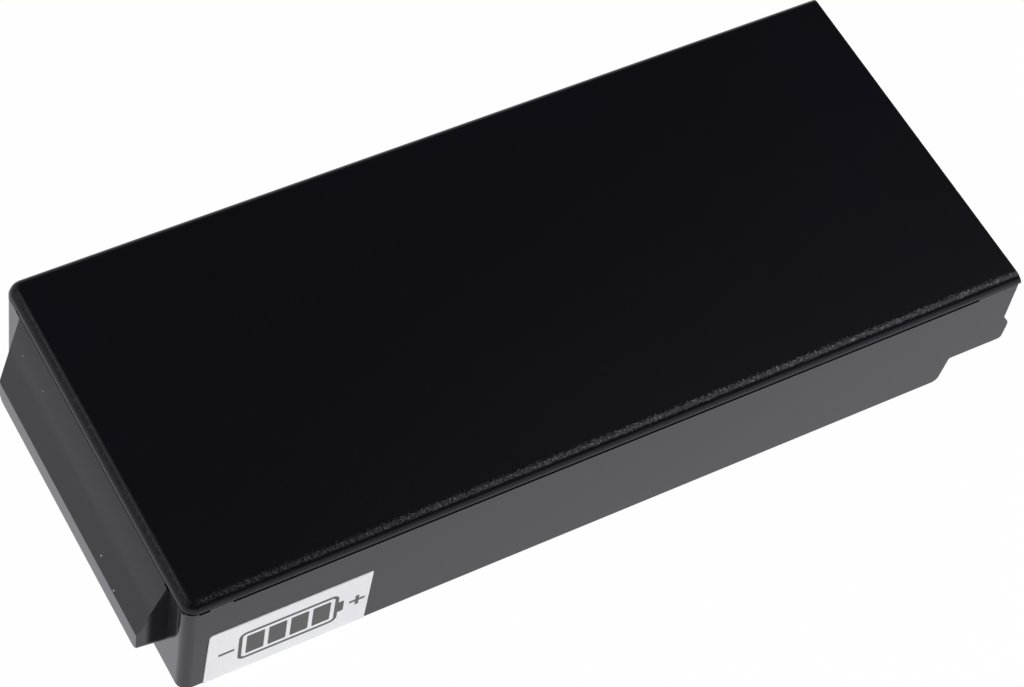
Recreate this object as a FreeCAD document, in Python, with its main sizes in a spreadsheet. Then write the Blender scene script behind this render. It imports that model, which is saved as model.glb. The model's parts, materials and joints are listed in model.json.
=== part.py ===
import FreeCAD, Part
import os

import Sketcher

# A flat rechargeable pack for a handheld remote control: a moulded tray with a lid, and a row of six cells inside.
# +Z is up, X runs along the row from the hook ridge to the stepped end, and the labelled side faces -Y.
# The origin is the centre of the pack's underside. All sizes are in millimetres.

CELL_COUNT = 6

# Side of the middle line on which each contact plate lies, as the sign of its Y
CONTACT_SIDES = {"contact_positive": "-", "contact_negative": "+"}

# Driving sizes
SIZES = {
    "cell_diameter": 14.2,
    "cell_length": 42.0,
    "cell_gap": 0.3,
    "cell_seat": 0.3,
    "cell_clearance": 0.05,
    "cell_edge": 0.6,
    "button_diameter": 5.6,
    "button_height": 0.8,
    "row_gap": 0.4,
    "side_gap": 0.4,
    "strip_thickness": 0.2,
    "strip_width": 4.0,
    "link_overlap": 2.5,
    "sheet_thickness": 0.2,
    "sheet_inset": 0.6,
    "pad_thickness": 0.4,
    "pad_width": 10.0,
    "pad_spacing": 3.0,
    "wall": 1.5,
    "base_thickness": 0.8,
    "corner_radius": 1.3,
    "base_edge_radius": 0.12,
    "seam_chamfer": 0.15,
    "groove_height": 0.5,
    "groove_depth": 0.3,
    "groove_inset": 5.5,
    "rebate_width": 0.7,
    "rebate_depth": 1.0,
    "rim_clearance": 0.1,
    "rib_offset": 12.0,
    "rib_thickness": 1.2,
    "rib_height": 4.0,
    "bulkhead_thickness": 1.2,
    "bulkhead_height": 7.5,
    "bulkhead_inset": 3.0,
    "bay_length": 15.0,
    "step_length": 6.5,
    "step_height": 4.3,
    "step_draft": 0.65,
    "step_inner_radius": 0.2,
    "step_outer_radius": 1.0,
    "bead_reach": 1.15,
    "bead_height": 4.85,
    "bead_slope": 1.75,
    "bead_lean": 0.2,
    "bead_top_radius": 1.5,
    "bead_lower_radius": 0.6,
    "ridge_reach": 3.35,
    "ridge_root_drop": 0.5,
    "ridge_underside": 4.35,
    "lip_height": 3.25,
    "lip_edge_radius": 0.2,
    "ridge_inset": 4.0,
    "ridge_back_taper": 2.05,
    "ridge_front_taper": 0.35,
    "ridge_end_radius": 1.1,
    "slot_depth": 0.5,
    "end_slot_length": 1.05,
    "end_slot_height": 0.5,
    "end_slot_drop": 0.15,
    "side_slot_length": 1.3,
    "side_slot_offset": 1.5,
    "side_slot_height": 0.42,
    "side_slot_drop": 0.08,
    "cover_thickness": 1.2,
    "cover_edge_radius": 1.1,
    "cover_corner_radius": 1.7,
    "cover_end_slant": 0.3,
    "side_reveal": 0.03,
    "ridge_end_reveal": 0.05,
    "step_end_reveal": 0.3,
    "label_offset": 2.7,
    "label_width": 19.6,
    "label_height": 9.7,
    "label_lean": 0.3,
    "label_lift": 0.15,
    "label_thickness": 0.12,
    "label_corner_radius": 0.5,
    "contact_width": 3.6,
    "contact_length": 7.0,
    "contact_setback": 9.0,
    "contact_thickness": 0.3,
    "contact_recess": 0.3,
    "contact_clearance": 0.1,
    "contact_flange": 0.5,
    "contact_corner_radius": 0.6,
    "board_end_gap": 2.0,
    "board_thickness": 1.0,
    "board_gap": 0.3,
    "foot_overlap": 2.5,
    "fuse_gap": 1.0,
    "fuse_length": 5.0,
    "fuse_width": 4.0,
    "fuse_height": 1.2,
}

# Places worked out from the driving sizes
PLACES = {
    "pitch": "Size.cell_diameter + Size.cell_gap",
    "row_length": f"{CELL_COUNT} * Size.cell_diameter + {CELL_COUNT - 1} * Size.cell_gap",
    "housing_length": "2 * Size.wall + 2 * Size.row_gap + row_length + Size.bulkhead_thickness + Size.bay_length",
    "left": "Size.ridge_reach - (housing_length + Size.bead_reach + Size.ridge_reach) / 2",
    "right": "left + housing_length",
    "cell_end": "Size.cell_length / 2",
    "strip_face": "cell_end + Size.strip_thickness",
    "half_cavity": "strip_face + Size.side_gap",
    "half_width": "half_cavity + Size.wall",
    "row_start": "left + Size.wall + Size.row_gap",
    "row_end": "row_start + row_length",
    "first_cell": "row_start + Size.cell_diameter / 2",
    "last_cell": "row_end - Size.cell_diameter / 2",
    "bulkhead": "row_end + Size.row_gap",
    "bay_end": "right - Size.wall",
    "step_wall": "right - Size.step_length",
    "step_foot": "step_wall - Size.step_draft",
    "bay_step": "step_foot - Size.wall",
    "bay_floor": "Size.step_height + Size.wall",
    "cell_axis": "Size.base_thickness + Size.cell_seat + Size.cell_diameter / 2",
    "sheet_base": "Size.base_thickness + Size.cell_seat + Size.cell_diameter",
    "sheet_top": "sheet_base + Size.sheet_thickness",
    "seam": "sheet_top + Size.pad_thickness",
    "top": "seam + Size.cover_thickness",
    "ridge_root": "seam - Size.ridge_root_drop",
    "bead_notch": "Size.step_height + Size.bead_height",
    "bead_crest": "bead_notch - Size.bead_slope",
    "lip_top": "Size.ridge_underside + Size.lip_height",
    "half_ridge": "half_width - Size.ridge_inset",
    "rebate_radius": "max(Size.corner_radius - Size.wall + Size.rebate_width; 2 * Size.rim_clearance)",
    "board_end": "cell_end - Size.board_end_gap",
    "contact_middle": "(step_wall + bay_end) / 2",
    "contact_offset": "board_end - Size.contact_setback",
    "board_base": "bay_floor + Size.contact_thickness",
    "board_top": "board_base + Size.board_thickness",
    "board_middle": "(bay_step + bay_end) / 2",
    "board_half_width": "(bay_end - bay_step) / 2 - Size.board_gap",
    "foot_end": "Size.foot_overlap - board_end",
    "fuse_middle": "foot_end + Size.fuse_gap + Size.fuse_length / 2",
    "fuse_top": "board_top + Size.fuse_height",
}

# Room for rounding when edges are picked by where they lie
PICK_MARGIN = 0.01

doc = FreeCAD.newDocument("battery_pack")


def fill_sheet(name, cells):
    """A sheet with one named cell in each row: the name in column A, the number or formula in column B."""
    sheet = doc.addObject("Spreadsheet::Sheet", name)
    for row, (alias, content) in enumerate(cells.items(), start=1):
        sheet.set(f"A{row}", alias)
        sheet.set(f"B{row}", str(content))
        sheet.setAlias(f"B{row}", alias)
    doc.recompute()
    return sheet


fill_sheet("Size", SIZES)
place_sheet = fill_sheet("Place", {alias: f"={formula}" for alias, formula in PLACES.items()})


def value(expression):
    """The number that an expression gives now."""
    return float(place_sheet.evalExpression(expression))


def new_body(name):
    body = doc.addObject("PartDesign::Body", name)
    body.Label = name
    return body


def new_sketch(body, name, plane, offset=None):
    """An empty sketch on one of the body's origin planes, or a stated distance along that plane's normal."""
    sketch = body.newObject("Sketcher::SketchObject", name)
    support = next(f for f in body.Origin.OriginFeatures if f.Role == plane)
    sketch.AttachmentSupport = [(support, "")]
    sketch.MapMode = "FlatFace"
    if offset:
        sketch.setExpression("AttachmentOffset.Base.z", offset)
    return sketch


def hold_point(sketch, geometry, point, x, y):
    """Holds a point of the sketch at two expressions, measured from the sketch's origin."""
    for kind, expression in (("DistanceX", x), ("DistanceY", y)):
        rule = Sketcher.Constraint(kind, -1, 1, geometry, point, value(expression))
        index = sketch.addConstraint(rule)
        sketch.setExpression(f"Constraints[{index}]", expression)


def add_outline(sketch, corners):
    """A closed outline of straight edges through corners given as pairs of expressions."""
    points = [FreeCAD.Vector(value(x), value(y), 0) for x, y in corners]
    first = sketch.GeometryCount
    count = len(corners)
    for index in range(count):
        sketch.addGeometry(Part.LineSegment(points[index], points[(index + 1) % count]), False)
    for index in range(count):
        following = first + (index + 1) % count
        sketch.addConstraint(Sketcher.Constraint("Coincident", first + index, 2, following, 1))
    for index, (x, y) in enumerate(corners):
        hold_point(sketch, first + index, 1, x, y)


def add_rectangle(sketch, low, high):
    """A rectangle from its low corner to its high corner, each a pair of expressions."""
    add_outline(sketch, [low, (high[0], low[1]), high, (low[0], high[1])])


def add_circle(sketch, centre, diameter):
    middle = FreeCAD.Vector(value(centre[0]), value(centre[1]), 0)
    index = sketch.addGeometry(Part.Circle(middle, FreeCAD.Vector(0, 0, 1), value(diameter) / 2), False)
    hold_point(sketch, index, 3, *centre)
    rule = sketch.addConstraint(Sketcher.Constraint("Diameter", index, value(diameter)))
    sketch.setExpression(f"Constraints[{rule}]", diameter)


def add_feature(body, kind, name, sketch, length, side="One side", reverse=False):
    """A pad or pocket of a sketch, by a stated length."""
    feature = body.newObject(f"PartDesign::{kind}", name)
    feature.Profile = sketch
    feature.SideType = side
    feature.Reversed = reverse
    feature.setExpression("Length", length)
    sketch.Visibility = False
    doc.recompute()
    return feature


def edges_inside(feature, low, high):
    """Names of the edges that lie wholly inside a box between two corners."""
    box = FreeCAD.BoundBox(FreeCAD.Vector(*low), FreeCAD.Vector(*high))
    box.enlarge(PICK_MARGIN)
    edges = enumerate(feature.Shape.Edges, start=1)
    return [f"Edge{number}" for number, edge in edges if box.isInside(edge.BoundBox)]


def dress_edges(body, kind, name, edges, amount):
    """A fillet or chamfer on named edges of the body's last feature."""
    base = body.Tip
    feature = body.newObject(f"PartDesign::{kind}", name)
    feature.Base = (base, edges)
    feature.setExpression("Radius" if kind == "Fillet" else "Size", amount)
    doc.recompute()
    return feature


def edge_across(body, x, z):
    """The edges that run across the pack at one place in its side view."""
    reach = value("Place.half_width")
    return edges_inside(body.Tip, (x, -reach, z), (x, reach, z))


def round_ridge_end_corners(body, name, x, half_width, low, high, radius):
    """Rounds the two upright corners at the ridge end of a wall that stands at x."""
    edges = []
    for side in (-half_width, half_width):
        edges += edges_inside(body.Tip, (x, side, low), (x, side, high))
    return dress_edges(body, "Fillet", name, edges, radius)


def make_housing():
    """The tray: side outline with step and bead, hook ridge, cavity, lid rebate, cradle ribs, contact windows."""
    body = new_body("housing")
    left, right = value("Place.left"), value("Place.right")
    half_width, seam = value("Place.half_width"), value("Place.seam")
    step_wall, step_foot = value("Place.step_wall"), value("Place.step_foot")
    ledge, crest = value("Size.step_height"), value("Place.bead_crest")
    bead = right + value("Size.bead_reach")
    bead_foot = bead - value("Size.bead_lean")

    outline = new_sketch(body, "housing_outline", "XZ_Plane")
    add_outline(outline, [
        ("Place.left", "0"),
        ("Place.step_foot", "0"),
        ("Place.step_wall", "Size.step_height"),
        ("Place.right + Size.bead_reach - Size.bead_lean", "Size.step_height"),
        ("Place.right + Size.bead_reach", "Place.bead_crest"),
        ("Place.right", "Place.bead_notch"),
        ("Place.right", "Place.seam"),
        ("Place.left", "Place.seam"),
    ])
    add_feature(body, "Pad", "housing_block", outline, "2 * Place.half_width", "Symmetric")
    round_ridge_end_corners(body, "housing_corners", left, half_width, 0, seam, "Size.corner_radius")
    dress_edges(body, "Fillet", "step_inner", edge_across(body, step_wall, ledge), "Size.step_inner_radius")
    dress_edges(body, "Fillet", "step_outer", edge_across(body, step_foot, 0), "Size.step_outer_radius")
    dress_edges(body, "Fillet", "bead_lower", edge_across(body, bead_foot, ledge), "Size.bead_lower_radius")
    dress_edges(body, "Fillet", "bead_upper", edge_across(body, bead, crest), "Size.bead_top_radius")
    rim = edges_inside(body.Tip, (left, -half_width, seam), (right, half_width, seam))
    dress_edges(body, "Chamfer", "rim_edges", rim, "Size.seam_chamfer")
    base = edges_inside(body.Tip, (left, -half_width, 0), (step_foot, half_width, 0))
    step_end = edges_inside(body.Tip, (0, -half_width, 0), (step_foot, half_width, 0))
    base = [edge for edge in base if edge not in step_end]
    dress_edges(body, "Fillet", "base_edges", base, "Size.base_edge_radius")

    add_ridge(body)
    add_cavity(body)
    add_cradles(body)
    add_contact_windows(body)
    add_grooves(body)
    add_slots(body)
    return body


def add_ridge(body):
    """The hook ridge: a wedge with an upright lip and round lower ends, narrowing in plan towards the lip."""
    profile = new_sketch(body, "ridge_profile", "XZ_Plane")
    add_outline(profile, [
        ("Place.left", "Place.ridge_root"),
        ("Place.left - Size.ridge_reach", "Place.lip_top"),
        ("Place.left - Size.ridge_reach", "Size.ridge_underside"),
        ("Place.left + Size.wall / 2", "Size.ridge_underside"),
        ("Place.left + Size.wall / 2", "Place.ridge_root"),
    ])
    add_feature(body, "Pad", "ridge", profile, "2 * Place.half_ridge", "Symmetric")
    taper = new_sketch(body, "ridge_taper_plan", "XY_Plane")
    beyond = "Place.left - 2 * Size.ridge_reach"
    for side, narrowing in (("-", "Size.ridge_front_taper"), ("+", "Size.ridge_back_taper")):
        add_outline(taper, [
            ("Place.left", f"{side} Place.half_ridge"),
            (beyond, f"{side} (Place.half_ridge - 2 * {narrowing})"),
            (beyond, f"{side} (Place.half_ridge + {narrowing})"),
            ("Place.left", f"{side} (Place.half_ridge + {narrowing})"),
        ])
    add_feature(body, "Pocket", "ridge_taper", taper, "2 * Place.top", "Symmetric")
    lip, underside = value("Place.left - Size.ridge_reach"), value("Size.ridge_underside")
    ends = []
    for side, narrowing in (("-", "Size.ridge_front_taper"), ("+", "Size.ridge_back_taper")):
        root = value(f"{side} Place.half_ridge")
        tip = value(f"{side} (Place.half_ridge - {narrowing})")
        low, high = (lip, min(root, tip), underside), (value("Place.left"), max(root, tip), underside)
        ends += edges_inside(body.Tip, low, high)
    dress_edges(body, "Fillet", "ridge_ends", ends, "Size.ridge_end_radius")
    edges = edge_across(body, lip, value("Place.lip_top")) + edge_across(body, lip, underside)
    dress_edges(body, "Fillet", "lip_edges", edges, "Size.lip_edge_radius")


def add_cavity(body):
    """The hollow for the cells, with its raised floor over the step, and the rebate that takes the lid's rim."""
    hollow = new_sketch(body, "cavity_outline", "XZ_Plane")
    add_outline(hollow, [
        ("Place.left + Size.wall", "Size.base_thickness"),
        ("Place.bay_step", "Size.base_thickness"),
        ("Place.bay_step", "Place.bay_floor"),
        ("Place.bay_end", "Place.bay_floor"),
        ("Place.bay_end", "Place.top"),
        ("Place.left + Size.wall", "Place.top"),
    ])
    add_feature(body, "Pocket", "cavity", hollow, "2 * Place.half_cavity", "Symmetric")
    inner_corner = "max(Size.corner_radius - Size.wall; Size.rim_clearance)"
    inner = value("Place.left + Size.wall")
    half_cavity, seam = value("Place.half_cavity"), value("Place.seam")
    floor = value("Size.base_thickness")
    round_ridge_end_corners(body, "cavity_corners", inner, half_cavity, floor, seam, inner_corner)

    rebate = new_sketch(body, "rebate_plan", "XY_Plane", "Place.seam")
    add_rectangle(
        rebate,
        ("Place.left + Size.wall - Size.rebate_width", "-Place.half_cavity - Size.rebate_width"),
        ("Place.bay_end + Size.rebate_width", "Place.half_cavity + Size.rebate_width"),
    )
    add_feature(body, "Pocket", "rebate", rebate, "Size.rebate_depth")
    outer = value("Place.left + Size.wall - Size.rebate_width")
    half_rebate = value("Place.half_cavity + Size.rebate_width")
    shelf = value("Place.seam - Size.rebate_depth")
    round_ridge_end_corners(body, "rebate_corners", outer, half_rebate, shelf, seam, "Place.rebate_radius")


def add_cradles(body):
    """Two scalloped ribs under the cells and the bulkhead that closes the row."""
    ribs = new_sketch(body, "rib_plan", "XY_Plane", "Size.base_thickness")
    for side in ("-", "+"):
        middle = f"{side} Size.rib_offset"
        add_rectangle(
            ribs,
            ("Place.left + Size.wall / 2", f"{middle} - Size.rib_thickness / 2"),
            ("Place.bulkhead + Size.bulkhead_thickness / 2", f"{middle} + Size.rib_thickness / 2"),
        )
    add_feature(body, "Pad", "ribs", ribs, "Size.rib_height")
    scallops = new_sketch(body, "scallop_outline", "XZ_Plane")
    for number in range(CELL_COUNT):
        centre = (f"Place.first_cell + {number} * Place.pitch", "Place.cell_axis")
        add_circle(scallops, centre, "Size.cell_diameter + 2 * Size.cell_clearance")
    add_feature(body, "Pocket", "scallops", scallops, "2 * Place.half_cavity", "Symmetric")
    bulkhead = new_sketch(body, "bulkhead_plan", "XY_Plane", "Size.base_thickness")
    add_rectangle(
        bulkhead,
        ("Place.bulkhead", "Size.bulkhead_inset - Place.half_cavity"),
        ("Place.bulkhead + Size.bulkhead_thickness", "Place.half_cavity - Size.bulkhead_inset"),
    )
    add_feature(body, "Pad", "bulkhead_rib", bulkhead, "Size.bulkhead_height")


def add_contact_windows(body):
    """Two windows with rounded corners through the ledge, one for each contact plate."""
    windows = new_sketch(body, "window_plan", "XY_Plane", "Place.bay_floor")
    for side in CONTACT_SIDES.values():
        add_rectangle(windows, *contact_corners(side, "0"))
    add_feature(body, "Pocket", "contact_windows", windows, "Size.wall")
    edges = []
    for side in CONTACT_SIDES.values():
        edges += upright_edges(body, contact_corners(side, "0"), "Size.step_height", "Place.bay_floor")
    dress_edges(body, "Fillet", "window_corners", edges, "Size.contact_corner_radius")


def add_grooves(body):
    """A narrow groove under the lid along the middle of each long side."""
    plan = new_sketch(body, "groove_plan", "XY_Plane", "Place.seam")
    for low, high in (("-Place.half_width", "Size.groove_depth - Place.half_width"),
                      ("Place.half_width - Size.groove_depth", "Place.half_width")):
        add_rectangle(plan, ("Place.left + Size.groove_inset", low), ("Place.right - Size.groove_inset", high))
    add_feature(body, "Pocket", "grooves", plan, "Size.groove_height")


def add_slots(body):
    """Shallow slots in the rim: one on each long side by the rounded corner, one at each end of the ridge's root."""
    near = "Place.left + Size.side_slot_offset"
    upper = "Place.seam - Size.side_slot_drop"
    for name, offset, reverse in (
        ("front_slot", "Place.half_width", False),
        ("back_slot", "-Place.half_width", True),
    ):
        side = new_sketch(body, f"{name}_outline", "XZ_Plane", offset)
        add_rectangle(side, (near, f"{upper} - Size.side_slot_height"), (f"{near} + Size.side_slot_length", upper))
        add_feature(body, "Pocket", name, side, "Size.slot_depth", reverse=reverse)
    ends = new_sketch(body, "end_slot_outline", "YZ_Plane", "Place.left")
    lower = "Place.ridge_root - Size.end_slot_drop"
    for start in ("-Place.half_ridge", "Place.half_ridge"):
        add_rectangle(
            ends,
            (start, lower),
            (f"{start} + Size.end_slot_length", f"{lower} + Size.end_slot_height"),
        )
    add_feature(body, "Pocket", "end_slots", ends, "2 * Size.slot_depth", "Symmetric")


def make_cover():
    """The lid: a plate with soft edges, a slanted face at the stepped end, and a rim that drops into the rebate."""
    body = new_body("cover")
    left = value("Place.left - Size.ridge_end_reveal")
    right = value("Place.right + Size.step_end_reveal")
    half = value("Place.half_width + Size.side_reveal")
    seam, top = value("Place.seam"), value("Place.top")

    plan = new_sketch(body, "cover_plan", "XY_Plane", "Place.seam")
    add_rectangle(
        plan,
        ("Place.left - Size.ridge_end_reveal", "-Place.half_width - Size.side_reveal"),
        ("Place.right + Size.step_end_reveal", "Place.half_width + Size.side_reveal"),
    )
    add_feature(body, "Pad", "cover_plate", plan, "Size.cover_thickness")
    round_ridge_end_corners(body, "cover_corners", left, half, seam, top, "Size.cover_corner_radius")
    upper = edges_inside(body.Tip, (left, -half, top), (right, half, top))
    end = edges_inside(body.Tip, (right, -half, top), (right, half, top))
    upper = [edge for edge in upper if edge not in end]
    dress_edges(body, "Fillet", "cover_edges", upper, "Size.cover_edge_radius")
    slant = new_sketch(body, "cover_end_outline", "XZ_Plane")
    add_outline(slant, [
        ("Place.right + Size.step_end_reveal", "Place.seam"),
        ("Place.right + Size.step_end_reveal + Size.cover_end_slant", "Place.top"),
        ("Place.right + Size.step_end_reveal - Size.cover_end_slant", "Place.top"),
    ])
    add_feature(body, "Pocket", "cover_end", slant, "4 * Place.half_width", "Symmetric")

    rim = new_sketch(body, "rim_plan", "XY_Plane", "Place.seam")
    step = "(Size.rebate_width - Size.rim_clearance)"
    add_rectangle(
        rim,
        (f"Place.left + Size.wall - {step}", f"-Place.half_cavity - {step}"),
        (f"Place.bay_end + {step}", f"Place.half_cavity + {step}"),
    )
    add_rectangle(
        rim,
        ("Place.left + Size.wall", "-Place.half_cavity"),
        ("Place.bay_end", "Place.half_cavity"),
    )
    add_feature(body, "Pad", "rim", rim, "Size.rebate_depth - Size.rim_clearance", reverse=True)
    outer = value(f"Place.left + Size.wall - {step}")
    half_rim = value(f"Place.half_cavity + {step}")
    lower = value("Place.seam - Size.rebate_depth + Size.rim_clearance")
    rim_radius = "Place.rebate_radius - Size.rim_clearance"
    round_ridge_end_corners(body, "rim_corners", outer, half_rim, lower, seam, rim_radius)
    return body


def make_label():
    """The sticker on the label side, with leaning ends and its upper corner by the ridge rounded."""
    body = new_body("label")
    outline = new_sketch(body, "label_outline", "XZ_Plane", "Place.half_width")
    near = "Place.left + Size.label_offset"
    far = f"{near} + Size.label_width"
    upper = "Size.label_lift + Size.label_height"
    add_outline(outline, [
        (near, "Size.label_lift"),
        (far, "Size.label_lift"),
        (f"{far} + Size.label_lean", upper),
        (f"{near} + Size.label_lean", upper),
    ])
    add_feature(body, "Pad", "label_sheet", outline, "Size.label_thickness")
    outer = -value("Place.half_width + Size.label_thickness")
    x, z = value(f"{near} + Size.label_lean"), value(upper)
    corner = edges_inside(body.Tip, (x, outer, z), (x, 0, z))
    dress_edges(body, "Fillet", "label_corner", corner, "Size.label_corner_radius")
    return body


def make_cell(number):
    """A sealed round cell lying across the pack: can with softened ends and raised button."""
    body = new_body(f"cell_{number + 1}")
    radius = "Size.cell_diameter / 2"
    shoulder = "(Place.cell_end - Size.button_height)"
    half_profile = new_sketch(body, f"cell_{number + 1}_profile", "XY_Plane")
    add_outline(half_profile, [
        ("0", "-Place.cell_end"),
        (f"{radius} - Size.cell_edge", "-Place.cell_end"),
        (radius, "Size.cell_edge - Place.cell_end"),
        (radius, f"{shoulder} - Size.cell_edge"),
        (f"{radius} - Size.cell_edge", shoulder),
        ("Size.button_diameter / 2", shoulder),
        ("Size.button_diameter / 2", "Place.cell_end"),
        ("0", "Place.cell_end"),
    ])
    turned = body.newObject("PartDesign::Revolution", f"cell_{number + 1}_can")
    turned.Profile = half_profile
    turned.ReferenceAxis = (half_profile, ["V_Axis"])
    turned.Angle = 360
    half_profile.Visibility = False
    half_turns = number % 2
    body.Placement = FreeCAD.Placement(FreeCAD.Vector(), FreeCAD.Rotation(180 * half_turns, 0, 0))
    body.setExpression("Placement.Base.x", f"Place.first_cell + {number} * Place.pitch")
    body.setExpression("Placement.Base.z", "Place.cell_axis")
    doc.recompute()
    return body


def make_box(name, low, high):
    """A plain rectangular piece between two corners given as expressions."""
    box = doc.addObject("Part::Box", name)
    box.Label = name
    for axis, side, start, end in zip("xyz", ("Length", "Width", "Height"), low, high):
        box.setExpression(side, f"({end}) - ({start})")
        box.setExpression(f"Placement.Base.{axis}", start)
    return box


def make_bent_strip(name, runs):
    """A strip folded from flat runs, each a box between two corners, joined into one piece."""
    boxes = [make_box(f"{name}_run_{index}", low, high) for index, (low, high) in enumerate(runs, start=1)]
    strip = doc.addObject("Part::MultiFuse", name)
    strip.Label = name
    strip.Shapes = boxes
    strip.Refine = True
    return strip


def make_link(number):
    """The strip that joins one cell to the next: at the back after an odd cell, at the front after an even one."""
    start = f"Place.first_cell + {number} * Place.pitch - Size.link_overlap"
    end = f"Place.first_cell + {number + 1} * Place.pitch + Size.link_overlap"
    inner, outer = ("-Place.strip_face", "-Place.cell_end") if number % 2 else ("Place.cell_end", "Place.strip_face")
    return make_box(
        f"link_{number + 1}",
        (start, inner, "Place.cell_axis - Size.strip_width / 2"),
        (end, outer, "Place.cell_axis + Size.strip_width / 2"),
    )


def make_output_strip():
    """From the last cell's front terminal along the side, then down and in to the contact board."""
    near = "Place.board_middle - Size.strip_width / 2"
    far = "Place.board_middle + Size.strip_width / 2"
    lower = "Place.cell_axis - Size.strip_width / 2"
    upper = "Place.cell_axis + Size.strip_width / 2"
    foot_top = "Place.board_top + Size.strip_thickness"
    return make_bent_strip("output_strip", [
        (("Place.last_cell - Size.link_overlap", "-Place.strip_face", lower), (far, "-Place.cell_end", upper)),
        ((near, "-Place.strip_face", f"min(Place.board_top; {lower})"),
         (far, "-Place.cell_end", f"max({foot_top}; {upper})")),
        ((near, "-Place.strip_face", "Place.board_top"), (far, "Place.foot_end", foot_top)),
    ])


def make_return_strip():
    """From the first cell's front terminal up and over the row, then down to the fuse."""
    start = "Place.first_cell - Size.strip_width / 2"
    near = "Place.fuse_middle - Size.strip_width / 2"
    far = "Place.fuse_middle + Size.strip_width / 2"
    over = "Place.sheet_top + Size.strip_thickness"
    drop = "Place.board_middle + Size.strip_thickness / 2"
    return make_bent_strip("return_strip", [
        ((start, "-Place.strip_face", "Place.cell_axis - Size.strip_width / 2"),
         ("Place.first_cell + Size.strip_width / 2", "-Place.cell_end", over)),
        ((start, "-Place.strip_face", "Place.sheet_top"), ("Place.first_cell + Size.strip_width / 2", far, over)),
        ((start, near, "Place.sheet_top"), (drop, far, over)),
        ((f"{drop} - Size.strip_thickness", near, "Place.fuse_top"), (drop, far, over)),
        ((f"{drop} - Size.fuse_width / 2", near, "Place.fuse_top"),
         (drop, far, "Place.fuse_top + Size.strip_thickness")),
    ])


def make_sheet_and_pads():
    """The insulating sheet on the cells, and two foam strips that fill the room between it and the lid."""
    edge = "(Place.cell_end - Size.sheet_inset)"
    sheet = make_box(
        "insulating_sheet",
        ("Place.row_start", f"-{edge}", "Place.sheet_base"),
        ("Place.row_end", edge, "Place.sheet_top"),
    )
    pads = []
    for number in range(2):
        start = f"{edge} - Size.pad_width - {number} * (Size.pad_width + Size.pad_spacing)"
        pads.append(make_box(
            f"foam_pad_{number + 1}",
            ("Place.row_start", start, "Place.sheet_top"),
            ("Place.row_end", f"{start} + Size.pad_width", "Place.seam"),
        ))
    return [sheet, *pads]


def contact_corners(side, growth):
    """Low and high corner of a contact window in plan, grown all round by an expression."""
    half_width = f"(Size.contact_width / 2 + {growth})"
    half_length = f"(Size.contact_length / 2 + {growth})"
    return [
        (f"Place.contact_middle {way} {half_width}", f"{side} Place.contact_offset {way} {half_length}")
        for way in ("-", "+")
    ]


def upright_edges(body, corners, low, high):
    """The four upright edges of a block or window between two corners in plan and two heights."""
    edges = []
    for x in (corners[0][0], corners[1][0]):
        for y in (corners[0][1], corners[1][1]):
            foot = (value(x), value(y), value(low))
            head = (value(x), value(y), value(high))
            edges += edges_inside(body.Tip, foot, head)
    return edges


def make_contact(name, side):
    """A contact plate: a flange on the ledge's inner face and a pan that fills the window, a little recessed."""
    body = new_body(name)
    flange = new_sketch(body, f"{name}_flange_plan", "XY_Plane", "Place.bay_floor")
    add_rectangle(flange, *contact_corners(side, "Size.contact_flange"))
    add_feature(body, "Pad", f"{name}_flange", flange, "Size.contact_thickness")
    pan = new_sketch(body, f"{name}_pan_plan", "XY_Plane", "Place.bay_floor")
    corners = contact_corners(side, "-Size.contact_clearance")
    add_rectangle(pan, *corners)
    add_feature(body, "Pad", f"{name}_pan", pan, "Size.wall - Size.contact_recess", reverse=True)
    edges = upright_edges(body, corners, "Size.step_height + Size.contact_recess", "Place.bay_floor")
    radius = "Size.contact_corner_radius - Size.contact_clearance"
    dress_edges(body, "Fillet", f"{name}_corners", edges, radius)
    return body


def make_board_and_fuse():
    """The contact board across the stepped end, and the flat fuse on it."""
    board = make_box(
        "contact_board",
        ("Place.board_middle - Place.board_half_width", "-Place.board_end", "Place.board_base"),
        ("Place.board_middle + Place.board_half_width", "Place.board_end", "Place.board_top"),
    )
    fuse = make_box(
        "resettable_fuse",
        ("Place.board_middle - Size.fuse_width / 2", "Place.fuse_middle - Size.fuse_length / 2", "Place.board_top"),
        ("Place.board_middle + Size.fuse_width / 2", "Place.fuse_middle + Size.fuse_length / 2", "Place.fuse_top"),
    )
    return [board, fuse]


def check_and_write(pieces):
    """Stops if anything in the document failed, then writes each piece to its own file."""
    doc.recompute()
    for item in doc.Objects:
        if "Invalid" in item.State or "Error" in item.State:
            raise RuntimeError(f"{item.Label} failed: {item.State}")
    for piece in pieces:
        shape = piece.Shape
        if shape.isNull() or not shape.isValid() or len(shape.Solids) != 1:
            raise RuntimeError(f"{piece.Label} is not one valid solid")
    os.makedirs("parts", exist_ok=True)
    for piece in pieces:
        piece.Shape.exportStep(f"parts/{piece.Label}.step")


def main():
    pieces = [make_housing(), make_cover(), make_label()]
    pieces += [make_cell(number) for number in range(CELL_COUNT)]
    pieces += [make_link(number) for number in range(CELL_COUNT - 1)]
    pieces += [make_output_strip(), make_return_strip()]
    pieces += make_sheet_and_pads()
    pieces += make_board_and_fuse()
    pieces += [make_contact(name, side) for name, side in CONTACT_SIDES.items()]
    check_and_write(pieces)


main()
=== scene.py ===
"""Looks of the flat battery pack: finishes, label print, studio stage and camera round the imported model."""

import json
import math

import bpy
import numpy as np
from bpy.props import FloatProperty, FloatVectorProperty, IntProperty, PointerProperty
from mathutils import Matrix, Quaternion, Vector


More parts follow.
